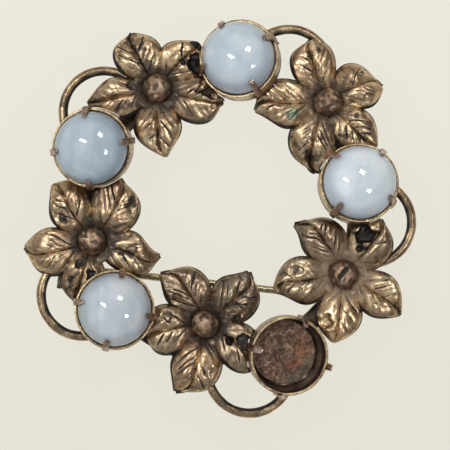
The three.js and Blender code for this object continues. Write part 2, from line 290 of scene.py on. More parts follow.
def remap(tree, value, low, high, newLow=0.0, newHigh=1.0, ease="SMOOTHSTEP"):
    node = addNode(tree, "MapRange", {
        "Value": value, "From Min": low, "From Max": high, "To Min": newLow, "To Max": newHigh,
    }, interpolation_type=ease)
    return node.outputs["Result"]


def millimetreSpace(tree, stretch=(1, 1, 1)):
    place = addNode(tree, "TexCoord").outputs["Object"]
    scale = [share / milli for share in stretch]
    return addNode(tree, "Mapping", {"Vector": place, "Scale": scale}).outputs[0]


def speckle(tree, space, scale, detail=4.0, rough=0.6, distortion=0.0):
    # scale is in features per millimetre
    return addNode(tree, "TexNoise", {
        "Vector": space, "Scale": scale, "Detail": detail, "Roughness": rough, "Distortion": distortion,
    }).outputs[0]


def colourRamp(tree, value, stops):
    node = addNode(tree, "ValToRGB", {"Fac": value})
    ramp = node.color_ramp
    while len(ramp.elements) < len(stops):
        ramp.elements.new(0.5)
    for element, (position, colour) in zip(ramp.elements, stops):
        element.position = position
        element.color = (*colour, 1)
    return node.outputs[0]


def painted(tree, name):
    return addNode(tree, "Attribute", attribute_name=name).outputs["Fac"]


def bumps(tree, strength, distance, height):
    values = {"Strength": strength, "Distance": distance, "Height": height}
    return addNode(tree, "Bump", values).outputs[0]


def newFinish(name):
    finish = bpy.data.materials.new(name)
    finish.use_nodes = True
    return finish, finish.node_tree, finish.node_tree.nodes["Principled BSDF"].inputs


brassLooks = {
    "petal": {"low": (0.26, 0.175, 0.12), "mid": (0.49, 0.375, 0.25), "high": (0.78, 0.68, 0.46),
              "oxide": (0.022, 0.017, 0.014), "rough": 0.31, "oxideRough": 0.42, "spread": 0.8,
              "shift": 0.03, "grain": 0.02, "blush": 0.5, "specks": 0.45,
              "scratches": 0.5},
    # the next two looks are darker copies of the petal brass, painted shade for the sheet's side faces and
    # its underside
    "petalShadedEdge": {"low": (0.08, 0.055, 0.04), "mid": (0.14, 0.10, 0.065), "high": (0.26, 0.19, 0.12),
                  "oxide": (0.014, 0.011, 0.009), "rough": 0.45, "oxideRough": 0.6, "spread": 0.5,
                  "shift": 0.5, "grain": 0.05},
    "petalShadedBack": {"low": (0.20, 0.14, 0.09), "mid": (0.36, 0.26, 0.16), "high": (0.55, 0.43, 0.27),
                  "oxide": (0.03, 0.024, 0.018), "rough": 0.40, "oxideRough": 0.6, "spread": 0.6,
                  "shift": -0.15, "grain": 0.05},
    "bead": {"low": (0.20, 0.125, 0.085), "mid": (0.37, 0.24, 0.16), "high": (0.66, 0.50, 0.34),
             "oxide": (0.035, 0.026, 0.02), "rough": 0.33, "oxideRough": 0.55, "spread": 0.3,
             "shift": 0.08, "grain": 0.12},
    "cup": {"low": (0.20, 0.14, 0.085), "mid": (0.40, 0.29, 0.165), "high": (0.66, 0.54, 0.33),
            "oxide": (0.032, 0.018, 0.012), "rough": 0.30, "oxideRough": 0.55, "spread": 0.35,
            "shift": 0.05, "grain": 0.05, "dull": (0.135, 0.084, 0.056)},
    "prong": {"low": (0.20, 0.13, 0.10), "mid": (0.40, 0.28, 0.22), "high": (0.82, 0.68, 0.60),
              "oxide": (0.03, 0.02, 0.015), "rough": 0.28, "oxideRough": 0.5, "spread": 0.5,
              "shift": -0.08, "grain": 0.06, "dull": (0.15, 0.088, 0.068)},
    "wire": {"low": (0.17, 0.11, 0.07), "mid": (0.34, 0.235, 0.14), "high": (0.60, 0.46, 0.28),
             "oxide": (0.022, 0.017, 0.013), "rough": 0.28, "oxideRough": 0.5, "spread": 0.5,
             "shift": 0.13, "grain": 0.04},
    "ring": {"low": (0.18, 0.13, 0.085), "mid": (0.34, 0.25, 0.15), "high": (0.52, 0.41, 0.26),
             "oxide": (0.022, 0.018, 0.014), "rough": 0.38, "oxideRough": 0.6, "spread": 0.6,
             "shift": 0.05, "grain": 0.06},
    "fitting": {"low": (0.16, 0.12, 0.07), "mid": (0.30, 0.23, 0.14), "high": (0.48, 0.39, 0.25),
                "oxide": (0.02, 0.016, 0.012), "rough": 0.38, "oxideRough": 0.55, "spread": 0.45,
                "shift": 0.1, "grain": 0.05},
    "pin": {"low": (0.33, 0.28, 0.16), "mid": (0.47, 0.41, 0.25), "high": (0.64, 0.58, 0.38),
            "oxide": (0.09, 0.08, 0.06), "rough": 0.28, "oxideRough": 0.45, "spread": 0.4,
            "shift": -0.1, "grain": 0.03},
}


def brassFinish(name):
    look = brassLooks[name]
    finish, tree, sockets = newFinish("brass_" + name)
    space = millimetreSpace(tree)
    broad = speckle(tree, space, 0.33, 3.0, 0.55, 0.4)
    mottle = speckle(tree, space, 1.5, 5.0, 0.62, 0.6)
    grain = speckle(tree, space, 9.0, 4.0, 0.65)
    drift = times(tree, mottle, 0.55, times(tree, broad, 0.45))
    metal = colourRamp(tree, drift, [(0.36, look["low"]), (0.5, look["mid"]), (0.63, look["high"])])
    if "blush" in look:
        rosy = remap(tree, speckle(tree, space, 0.42, 3.0, 0.5, 0.8), 0.47, 0.60, 0.0, look["blush"])
        metal = mixColour(tree, rosy, metal, (0.42, 0.285, 0.21))
        tone = mixColour(tree, painted(tree, "gild"), (0.64, 0.63, 0.62), (1.16, 1.06, 0.93))
        metal = mixColour(tree, 1.0, metal, tone, "MULTIPLY")

    # darkening: the painted dirt and patina together with painted shade and painted highlights, broken up by
    # patches, grain, specks and fine scratches
    patches = speckle(tree, space, 0.62, 5.0, 0.58, 0.9)
    tarnishAndShade = calculate(tree, "ADD", painted(tree, "tarnishAndShade"), look["shift"])
    tarnishAndShade = times(tree, calculate(tree, "SUBTRACT", patches, 0.5), look["spread"] * 2, tarnishAndShade)
    tarnishAndShade = times(tree, calculate(tree, "SUBTRACT", grain, 0.5), 0.35, tarnishAndShade)
    specks = speckle(tree, space, 2.8, 4.0, 0.72, 0.5)
    specks = remap(tree, specks, 0.585, 0.66, 0.0, look.get("specks", 0.2))
    tarnishAndShade = calculate(tree, "ADD", tarnishAndShade, specks)
    if "scratches" in look:
        wavy = addNode(tree, "TexNoise", {"Vector": space, "Scale": 0.9, "Detail": 2.0})
        wavy = addNode(tree, "VectorMath", {
            0: wavy.outputs["Color"], 1: (1.6, 1.6, 1.6), 2: space,
        }, operation="MULTIPLY_ADD").outputs[0]
        cells = addNode(tree, "TexVoronoi", {"Vector": wavy, "Scale": 0.75},
                        feature="DISTANCE_TO_EDGE")
        lines = remap(tree, cells.outputs["Distance"], 0.0, 0.04, look["scratches"], 0.0)
        tarnishAndShade = times(tree, lines, remap(tree, patches, 0.44, 0.54), tarnishAndShade)
    dark = remap(tree, tarnishAndShade, 0.28, 0.78)

    dull = look.get("dull", (0.125, 0.092, 0.062))
    film = mixColour(tree, remap(tree, tarnishAndShade, 0.26, 0.52), metal, dull)
    film = mixColour(tree, remap(tree, tarnishAndShade, 0.5, 0.85, 0.0, 0.96), film, look["oxide"])
    green = remap(tree, times(tree, painted(tree, "verdigris"), mottle), 0.22, 0.5)
    film = mixColour(tree, green, film, (0.13, 0.155, 0.105))
    dusty = times(tree, painted(tree, "dust"), remap(tree, mottle, 0.35, 0.55, 0.45, 1.0))
    worn = calculate(tree, "SUBTRACT", 1.0, dark)
    gloss = times(tree, grain, 0.22, look["rough"] - 0.11)
    rough = addNode(tree, "Mix", {0: dark, 2: gloss, 3: look["oxideRough"]}, data_type="FLOAT")
    rough = times(tree, dusty, 0.35, rough.outputs[0])
    pits = times(tree, grain, 0.5, times(tree, mottle, 0.7))
    plugAll(sockets, {
        "Base Color": mixColour(tree, dusty, film, (0.25, 0.178, 0.112)),
        "Metallic": calculate(tree, "SUBTRACT", times(tree, worn, 0.42, 0.58), dusty, clamp=True),
        "Roughness": calculate(tree, "MAXIMUM", rough, 0.12),
        "Normal": bumps(tree, 0.6, look["grain"] * milli * 2, pits),
    })
    return finish


# each stone's edge colour is painted shade, laid towards the girdle
stoneLook = {
    "cabochon_1": {"body": (0.47, 0.56, 0.62), "cloud": (0.60, 0.66, 0.70), "edge": (0.36, 0.40, 0.46)},
    "cabochon_2": {"body": (0.41, 0.49, 0.55), "cloud": (0.52, 0.60, 0.65), "edge": (0.27, 0.34, 0.41)},
    "cabochon_3": {"body": (0.48, 0.54, 0.58), "cloud": (0.62, 0.65, 0.67), "edge": (0.36, 0.40, 0.44)},
    "cabochon_4": {"body": (0.60, 0.67, 0.71), "cloud": (0.74, 0.78, 0.80), "edge": (0.45, 0.51, 0.57)},
}


def stoneFinish(name):
    look = stoneLook[name]
    finish, tree, sockets = newFinish("opaline_" + name)
    wisps = speckle(tree, millimetreSpace(tree), 0.16, 3.0, 0.5, 1.2)
    streaks = speckle(tree, millimetreSpace(tree, (0.5, 0.12, 0.3)), 0.9, 3.0, 0.5, 0.8)
    cloud = remap(tree, times(tree, streaks, 0.4, times(tree, wisps, 0.6)), 0.38, 0.62)
    depth = mixColour(tree, cloud, look["body"], look["cloud"])
    # the dome darkens towards its girdle: painted shade
    plugAll(sockets, {
        "Base Color": mixColour(tree, painted(tree, "edge"), depth, look["edge"]),
        "Roughness": remap(tree, wisps, 0.3, 0.7, 0.05, 0.08), "IOR": 1.52, "Coat Weight": 0.3,
        "Coat Roughness": 0.06, "Subsurface Weight": 0.55, "Subsurface Radius": (0.9, 1.1, 1.4),
        "Subsurface Scale": 0.0012,
    })
    return finish


def cementFinish():
    finish, tree, sockets = newFinish("dry_cement")
    space = millimetreSpace(tree)
    grit = speckle(tree, space, 1.8, 6.0, 0.8, 0.4)
    sand = speckle(tree, space, 12.0, 3.0, 0.7)
    base = colourRamp(tree, times(tree, grit, 0.6, times(tree, sand, 0.4)), [
        (0.38, (0.022, 0.013, 0.010)), (0.47, (0.12, 0.063, 0.040)), (0.54, (0.23, 0.135, 0.085)),
        (0.61, (0.60, 0.42, 0.28)),
    ])
    for stain, low, high, colour in (
        ("orange", 0.40, 0.54, (0.30, 0.125, 0.055)), ("red", 0.42, 0.56, (0.20, 0.07, 0.042)),
        ("verdigris", 0.4, 0.6, (0.12, 0.11, 0.07)),
    ):
        share = times(tree, painted(tree, stain), remap(tree, grit, low, high))
        base = mixColour(tree, share, base, colour)
    # the painted darkening mixed in below is shade in the cement's low spots
    plugAll(sockets, {
        "Base Color": mixColour(tree, painted(tree, "tarnishAndShade"), base, (0.02, 0.013, 0.01)),
        "Roughness": remap(tree, grit, 0.3, 0.7, 0.95, 0.7), "Normal": bumps(tree, 0.9, 0.00012, grit),
    })
    return finish


brass = {name: brassFinish(name) for name in brassLooks}
cementMaterial = cementFinish()
print("materials made")

# Cups

cupLook = {
    "stoneRadius": 5.0, "band": 2.4, "dome": 3.6, "stoneBase": 1.4, "wall": 0.36, "inside": 5.06,
    "floor": 0.6, "height": 3.4, "corner": 0.75, "steps": 88, "wave": 0.05,
    "prongWidth": 1.15, "prongThickness": 0.55, "prongReach": 33, "prongStandoff": 0.36, "prongRoot": 1.2,
    "cement": 0.7, "residue": 0.35, "footReach": 0.86,
}
# lean is a direction and an angle, prongs are directions, spread is how far each is bent back
cups = {
    "cup_1": {"lean": (140, 15), "prongs": (117, 29, -60, 198)},
    "cup_2": {"lean": (205, 8), "prongs": (97, 10, 268, 186)},
    "cup_3": {"lean": (60, 5), "prongs": (78, -11, 257, 168)},
    "cup_4": {"lean": (55, 10), "prongs": (52, -31, 230, 135)},
    "cup_5": {"lean": (-15, 12), "prongs": (69, 167, 255, 344), "spread": (2, 3, 19, 20)},
}
girdle = cupLook["stoneBase"] + cupLook["band"]
cupOutside = cupLook["inside"] + cupLook["wall"]
ringLow, ringHigh = boxOf("back_ring")
ringFront = ringHigh.z
ringCentre = Vector(((ringLow.x + ringHigh.x) / 2, (ringLow.y + ringHigh.y) / 2, 0))
ringLook = {"inner": 17.45, "outer": 20.05, "edge": 0.14, "steps": 220}    # the feet stand on it
ringMiddle = (ringLook["inner"] + ringLook["outer"]) / 2


def cupMatrix(name):
    # the cement lies on the cup's axis, so its middle and the lean give the cup's place
    direction, angle = cups[name]["lean"]
    turn = Matrix.Rotation(math.radians(angle), 4, compass(direction + 90))
    low, high = boxOf("cement_" + name)
    bed = cementDepth(name)
    axis = turn @ Vector((0, 0, 1))
    origin = (low + high) / 2 - axis * (cupLook["floor"] + 0.05 + bed / 2)
    return Matrix.Translation(origin) @ turn


def cementDepth(name):
    return cupLook["residue" if name == "cup_5" else "cement"]


for name in cups:
    cups[name]["place"] = cupMatrix(name)
    cups[name]["inverse"] = cups[name]["place"].inverted()


def makeCupShell():
    inside, height, floor, corner = (cupLook[key] for key in ("inside", "height", "floor", "corner"))
    return turned("cupShell", [
        (0, 0), (2.4, 0), (cupOutside - corner, 0), (cupOutside - corner * 0.5, 0.12),
        (cupOutside - 0.12, corner * 0.5), (cupOutside, corner), (cupOutside, 1.6), (cupOutside, 2.6),
        (cupOutside + 0.03, height - 0.34), (cupOutside + 0.06, height - 0.16),
        (cupOutside + 0.02, height - 0.04), (cupOutside - 0.1, height), (inside + 0.14, height),
        (inside + 0.03, height - 0.05), (inside, height - 0.14), (inside, 2.4), (inside, floor + corner),
        (inside - corner, floor), (2, floor), (0, floor),
    ], cupLook["steps"])


def makeProng():
    # a bar that leaves the wall, stands against it and bends over the dome
    width, thickness = cupLook["prongWidth"], cupLook["prongThickness"]
    root = cupLook["prongRoot"]
    slack = 0.06
    bpy.ops.mesh.primitive_cube_add(size=1, location=(0, 0, 0))
    prong = newest("prong")
    openWhole(prong, "FACE")
    bpy.ops.transform.resize(value=(thickness, width * 0.8, 0.4))
    start = Vector((cupOutside - 0.02 + cupLook["prongStandoff"] - thickness / 2, 0, root + 0.2))
    bpy.ops.transform.translate(value=start)
    heights = ((root + 0.4, 1.0), (girdle - 0.7, 1.05), (girdle - 0.1, 1.08))
    spine = [(Vector((start.x, 0, height)), 0, wide) for height, wide in heights]
    stops = 4
    for number in range(1, stops + 1):
        turn = math.radians(cupLook["prongReach"]) * number / stops
        middle = Vector((
            (cupLook["stoneRadius"] + slack + thickness / 2) * math.cos(turn), 0,
            girdle + (cupLook["dome"] + slack + thickness / 2) * math.sin(turn),
        ))
        spine.append((middle, turn * 0.92, 1.06 - 0.02 * number ** 2))
    tilt, share = 0, 1.0
    last = spine[0][0]
    for middle, turn, wide in spine:
        step = middle - last
        bpy.ops.mesh.select_all(action="DESELECT")
        body = bmesh.from_edit_mesh(prong.data)
        body.faces.ensure_lookup_table()
        top = max(body.faces, key=lambda face: face.calc_center_median().dot(
            Vector((-math.sin(tilt), 0, math.cos(tilt)))))
        top.select = True
        bmesh.update_edit_mesh(prong.data)
        if step.length > 1e-6:
            bpy.ops.mesh.extrude_region_move(TRANSFORM_OT_translate={"value": step})
        bpy.ops.transform.rotate(value=tilt - turn, orient_axis="Y", center_override=middle)
        bpy.ops.transform.resize(value=(1, wide / share, 1), center_override=middle)
        tilt, share, last = turn, wide, middle
    closeMesh()
    return prong


def cupPaint(piece, seed):
    # worn on the rim and the outer faces; dark inside and under, patina with painted shade from the walls
    # and the petals above
    points = meshPoints(piece)
    height = points[:, 2]
    inner = smoothStep(cupLook["inside"] + 0.16, cupLook["inside"] - 0.02, reachOf(points))
    inner *= smoothStep(cupLook["height"] + 0.02, cupLook["height"] - 0.3, height)
    low = smoothStep(2.4, 0.6, height) * 0.5
    patch = noiseAt(points, 1.6, seed) * 0.35
    paint(piece, "tarnishAndShade", np.maximum(inner * 0.62, low) + patch)


shellModel = makeCupShell()
print("cup shell shaped")
prongModel = makeProng()
bevelEdges(prongModel, 0.18, 2, 30)
subdivide(prongModel, 1)
print("prong shaped")


def makeStone():
    radius, dome, base = cupLook["stoneRadius"], cupLook["dome"], cupLook["stoneBase"]
    profile = [(0, base), (3.0, base), (radius - 0.25, base), (radius - 0.05, base + 0.1),
               (radius, base + 0.3), (radius, girdle - 0.6)]
    stops = 22
    for number in range(stops + 1):
        rise = math.pi / 2 * number / stops
        profile.append((max(0.0, radius * math.cos(rise)), girdle + dome * math.sin(rise)))
    profile[-1] = (0, girdle + dome)
    stone = turned("stoneModel", profile, 96)
    # painted shade: darker towards the girdle
    paint(stone, "edge", smoothStep(3.3, 5.0, reachOf(meshPoints(stone))) * 0.9)
    smoothShade(stone, 50)
    return stone


stoneModel = makeStone()
print("stone shaped")


def bendOpen(piece, spread):
    # a prong of the empty cup is bent back about the rim
    turn = math.radians(spread)
    points = meshPoints(piece)
    out = points[:, 0] - cupOutside
    up = points[:, 2] - cupLook["height"]
    above = up > 0
    points[above, 0] = cupOutside + out[above] * math.cos(turn) + up[above] * math.sin(turn)
    points[above, 2] = cupLook["height"] - out[above] * math.sin(turn) + up[above] * math.cos(turn)
    setMeshPoints(piece, points)


def makeFoot(name):
    # a solder foot between ring and cup
    place = cups[name]["place"]
    rim = place @ Vector((0, 0, cupLook["height"]))
    fromMiddle = Vector((rim.x, rim.y, 0)) - ringCentre
    outset = fromMiddle.length - ringMiddle
    shift = max(-cupLook["footReach"], min(cupLook["footReach"], outset))
    spot = ringCentre + fromMiddle.normalized() * (ringMiddle + shift)
    axis = place.to_3x3() @ Vector((0, 0, 1))
    under = place.translation.z - (spot - place.translation).dot(Vector((axis.x, axis.y, 0))) / axis.z
    top = under + cupLook["floor"] / 2 - ringFront
    foot = turned("foot", [(0, 0.01), (1.25, 0.01), (1.2, 0.1), (1.0, 0.3), (0.95, top), (0, top)], 28)
    movePiece(foot, cups[name]["inverse"] @ Matrix.Translation((spot.x, spot.y, ringFront)))
    return foot


for number, (name, cup) in enumerate(cups.items(), 1):
    shell = copyPiece(shellModel, name + "_shell")
    wave = meshPoints(shell)
    rim = smoothStep(2.6, 3.4, wave[:, 2])
    angle = np.arctan2(wave[:, 1], wave[:, 0])
    around = np.c_[np.cos(angle) * 2.2, np.sin(angle) * 2.2, np.full(len(angle), number * 3.1)]
    wobble = noiseAt(around, 1, 0)
    wave[:, 2] += rim * wobble * cupLook["wave"] * 2
    setMeshPoints(shell, wave)
    roughen(shell, [(1.1, 0.02), (0.4, 0.012)], number * 5)
    cupPaint(shell, number)
    smoothShade(shell, 40)
    parts = [shell]
    for order, direction in enumerate(cup["prongs"]):
        prong = copyPiece(prongModel, f"{name}_prong_{order + 1}")
        if "spread" in cup:
            bendOpen(prong, cup["spread"][order])
        movePiece(prong, Matrix.Rotation(math.radians(direction), 4, "Z"))
        roughen(prong, [(0.8, 0.09), (0.3, 0.04)], number * 10 + order)
        points = meshPoints(prong)
        edge = noiseAt(points, 0.7, number + order) * 0.5 + 0.32
        # painted shade darkens the prong low by the wall, and a painted highlight lightens its tip
        tip = smoothStep(girdle + 0.4, girdle + 1.7, points[:, 2])
        paint(prong, "tarnishAndShade", edge + smoothStep(2.6, 1.2, points[:, 2]) * 0.5 - tip * 0.6)
        smoothShade(prong, 50)
        parts.append(prong)
    foot = makeFoot(name)
    paint(foot, "tarnishAndShade", 0.5)
    smoothShade(foot, 40)
    parts.append(foot)
    for index, part in enumerate(parts):
        part.data.materials.clear()
        for finish in ("cup", "prong"):
            part.data.materials.append(brass[finish])
        for face in part.data.polygons:
            face.material_index = 1 if 0 < index < len(parts) - 1 else 0
    whole = joinPieces(parts, name + "_setting")
    movePiece(whole, cup["place"])
    finishPiece(whole, [brass["cup"], brass["prong"]], rootBody, "cup_brass", name)

    if name != "cup_5":
        stoneName = "cabochon_" + name[-1]
        stone = copyPiece(stoneModel, "opal_" + name[-1])
        movePiece(stone, cup["place"])
        finishPiece(stone, [stoneFinish(stoneName)], rootBody, "opal_glass", stoneName)
    print(name, "set")


def makeResidue():
    # broken bed of the lost stone
    depth = cementDepth("cup_5")
    base, radius, rings = 0.65, 4.4, 34
    profile = [(0, base), (radius, base), (radius, base + depth * 0.6)]
    profile += [(radius * (1 - step / rings), base + depth) for step in range(rings)]
    bed = turned("residue", profile + [(0, base + depth)], 120)
    points = meshPoints(bed)
    top = smoothStep(base + depth * 0.5, base + depth * 0.9, points[:, 2])
    reach = reachOf(points)
    lumps = noiseAt(points, 1.5, 3) * 0.22 + noiseAt(points, 0.6, 4) * 0.3 + noiseAt(points, 0.26, 6) * 0.2
    heap = smoothStep(2.6, 4.2, reach) * 0.35
    points[:, 2] += top * (lumps + heap)
    ragged = 1 + 0.05 * noiseAt(points * np.array([1, 1, 0]), 1.3, 12) * smoothStep(3.6, 4.4, reach)
    points[:, :2] = points[:, :2] * ragged[:, None] + np.array([-0.36, 0.36])
    setMeshPoints(bed, points)
    direction = np.degrees(np.arctan2(points[:, 1], points[:, 0]))
    orange = np.exp(-(((points[:, 0] - 2.2) / 1.0) ** 2 + ((points[:, 1] - 0.7) / 1.7) ** 2))
    red = np.exp(-(((points[:, 0] - 0.9) / 1.3) ** 2 + ((points[:, 1] + 1.5) / 0.9) ** 2))
    green = smoothStep(2.9, 3.6, reach) * smoothStep(-110, -75, direction) * smoothStep(5, -20, direction)
    # painted shade: the low spots between the lumps are darkened
    hollow = smoothStep(0.0, -0.16, lumps) * 0.55
    for stain, share in (("orange", orange), ("red", red), ("verdigris", green), ("tarnishAndShade", hollow)):
        paint(bed, stain, share)
    smoothShade(bed, 60)
    movePiece(bed, cups["cup_5"]["place"])
    finishPiece(bed, [cementMaterial], rootBody, "stone_cement", "cement_cup_5")


makeResidue()
for number in range(1, 5):
    node = frame["nodes"][f"cement_cup_{number}"]
    node.data.materials.clear()
    node.data.materials.append(cementMaterial)
print("cement laid")

# Flowers

flowerLook = {
    "stations": (0.0, 0.08, 0.17, 0.27, 0.37, 0.47, 0.57, 0.67, 0.76, 0.84, 0.91, 0.96, 1.0),
    "plain": (0.17, 0.33, 0.52, 0.70, 0.85, 0.96, 1.02, 1.00, 0.90, 0.72, 0.48, 0.28, 0.09),
    "full": (0.17, 0.33, 0.52, 0.70, 0.85, 0.96, 1.03, 1.06, 1.05, 1.00, 0.88, 0.62, 0.12),
    "lean": (0.17, 0.33, 0.52, 0.72, 0.89, 0.99, 0.98, 0.82, 0.54, 0.32, 0.17, 0.11, 0.06),
    "columns": 8, "levels": 3, "thickness": 0.45, "root": 0.95, "arch": 2.3, "archSpan": 0.85,
    "edgeDrop": 0.7, "pillow": 0.3, "quilt": 0.08, "veinDepth": 0.13, "veinWidth": 0.055,
    "ribDepth": 0.12, "ribWidth": 0.075, "roll": 0.32, "swell": 0.62, "dents": 0.05,
    "beadRadius": 1.95,
}
# petals: direction, length, (left half width, fullness), (right half width, fullness), sideways bend,
# tip lift, side veins, dents as (along, across, radius, depth, dirt)
flowers = {
    "flower_1": [
        (114, 8.3, (3.8, 0.8), (2.8, 0), 0, -0.1, 3, [(0.85, 0.2, 1.0, 0.25, 0.7)]),
        (47, 8.5, (3.3, -0.3), (3.0, 0.3), 0, 0.3, 2, [
            (0.72, -0.45, 1.3, 0.6, 1.3), (0.95, 0.1, 0.8, 0.1, 1.1)]),
        (-15, 9.3, (3.0, 0.3), (3.6, 1), 1, 0.2, 4, [(0.78, 0.7, 2.2, 0.5, 1.0)]),
        (-89, 9.5, (3.25, -0.6), (3.5, 0), 1.1, 0.2, 3, []),
        (195, 9.8, (2.95, -0.3), (2.9, -0.4), -0.5, -0.1, 3, [(0.35, -0.5, 0.7, 0.3, 1.2)]),
    ],
    "flower_2": [
        (110, 8.8, (3.4, 1), (2.75, 0.3), -0.8, 0.1, 3, []),
        (31, 7.5, (3.6, 1), (3.25, -0.2), -2.1, -0.3, 3, [(0.4, -0.6, 0.6, 0.3, 0.9)]),
        (-45, 9.1, (2.85, -0.3), (3.3, 0), 0.4, 0.1, 4, [(0.45, 0.5, 0.6, 0.2, 0.9)]),
        (250, 9.7, (3.0, 0), (3.9, 0.9), 1.9, -0.3, 5, [(0.9, 0.1, 2.0, 0.3, 0.8)]),
        (182, 10.1, (3.5, -0.7), (3.5, 1), 0.9, 0.3, 4, [(0.95, 0.0, 1.0, 0.1, 0.6)]),
    ],
    "flower_3": [
        (125, 9.5, (3.0, -0.5), (3.1, 0.7), 0, 0, 4, [(0.5, 0.5, 0.8, 0.25, 0.7)]),
        (57, 9.3, (3.0, 0), (3.95, 1), 1.6, 0.2, 4, [(0.8, -0.6, 1.2, 0.3, 0.5)]),
        (-17, 9.5, (2.95, -1), (3.1, 1), 0.9, -0.3, 3, []),
        (255, 8.7, (3.0, 0), (3.0, 0.2), 0, 0, 3, [
            (0.36, -0.3, 0.9, 0.3, 1.2), (0.5, 0.35, 0.8, 0.35, 1.2), (0.7, -0.4, 0.7, 0.3, 0.9)]),
        (192, 9.2, (3.9, 0.8), (2.85, -0.3), -1.2, 0, 4, [(0.4, 0.6, 0.7, 0.25, 0.8)]),
    ],
    "flower_4": [
        (121, 9.2, (2.75, -0.7), (3.6, 1), 2.4, 0.2, 5, [(0.95, 0.0, 0.7, 0.1, 1.0)]),
        (46, 9.0, (3.05, 0), (3.3, 0.9), 1.6, 0.5, 2, [
            (0.58, 0.43, 1.7, 0.8, 1.8), (0.5, -0.6, 0.7, 0.3, 0.6)]),
        (-29, 9.6, (3.2, 0.1), (3.15, -0.3), -1.1, 0.1, 3, [(0.9, 0.1, 0.9, 0.3, 0.7)]),
        (264, 9.5, (3.25, 0.1), (3.25, -0.1), -0.4, 0.4, 3, [(0.72, -0.5, 1.2, 0.5, 0.5)]),
        (190, 9.95, (3.3, -0.8), (3.6, 0.2), 0.7, 0, 3, [
            (0.92, 0.1, 1.2, 0.2, 0.9), (0.62, -0.4, 1.1, 0.2, 0.7)]),
    ],
    "flower_5": [
        (120, 9.0, (2.65, -0.5), (3.75, 1), 2, 0.1, 4, [(0.55, 0.5, 0.8, 0.3, 0.6)]),
        (40, 9.2, (3.3, -0.6), (3.6, 1), 1.7, 0.2, 3, [
            (0.5, -0.5, 1.3, 0.4, 0.9), (0.42, -0.75, 0.8, 0.3, 1.3)]),
        (-38, 9.0, (3.8, 0.5), (2.4, 0.2), -1.2, 0.2, 2, [
            (0.45, -0.1, 0.7, 0.5, 1.2), (0.62, 0.3, 1.0, 0.4, 1.2)]),
        (257, 9.95, (4.0, 1), (3.1, -0.5), -2, 0, 4, [(0.6, 0.5, 1.2, 0.3, 0.5)]),
        (190, 8.2, (3.15, 0.6), (3.7, 0.9), 0.5, 0, 3, [(0.6, -0.6, 0.9, 0.3, 0.8)]),
    ],
}


def sideOutline(fullness):
    plain, other = flowerLook["plain"], flowerLook["full" if fullness > 0 else "lean"]
    return [base + (goal - base) * abs(fullness) for base, goal in zip(plain, other)]


def petalHalves(petal):
    left = [petal[2][0] * share for share in sideOutline(petal[2][1])]
    right = [petal[3][0] * share for share in sideOutline(petal[3][1])]
    return left, right


def petalSheet(name, petal):
    # a coarse grid is shaped row by row into a leaf, away from its place, then smoothed
    length, bend, aside = petal[1], petal[4], 20
    stations = flowerLook["stations"]
    left, right = petalHalves(petal)
    deselectAll()
    bpy.ops.mesh.primitive_grid_add(x_subdivisions=len(stations) - 1, y_subdivisions=flowerLook["columns"],
                                    size=2)
    sheet = newest(name)
    openMesh(sheet)
    body = bmesh.from_edit_mesh(sheet.data)
    places = sorted({round(vertex.co.x, 4) for vertex in body.verts})
    for place, share, toLeft, toRight in zip(places, stations, left, right):
        bpy.ops.mesh.select_all(action="DESELECT")
        body = bmesh.from_edit_mesh(sheet.data)
        for vertex in body.verts:
            vertex.select = abs(vertex.co.x - place) < 1e-3
        body.select_flush_mode()
        bmesh.update_edit_mesh(sheet.data)
        rise = flowerLook["root"] + flowerLook["arch"] * math.sin(flowerLook["archSpan"] * math.pi * share)
        shift = (toLeft - toRight) / 2 + bend * share ** 3
        bpy.ops.transform.resize(value=(1, (toLeft + toRight) / 2, 1), center_override=(place, 0, 0))
        bpy.ops.transform.translate(value=(aside + length * share - place, shift, rise))
    bpy.ops.mesh.select_all(action="SELECT")
    bpy.ops.transform.translate(value=(-aside, 0, 0))
    closeMesh()
    applyModifier(sheet, "SUBSURF", levels=flowerLook["levels"], render_levels=flowerLook["levels"],
                  uv_smooth="NONE")
    return sheet


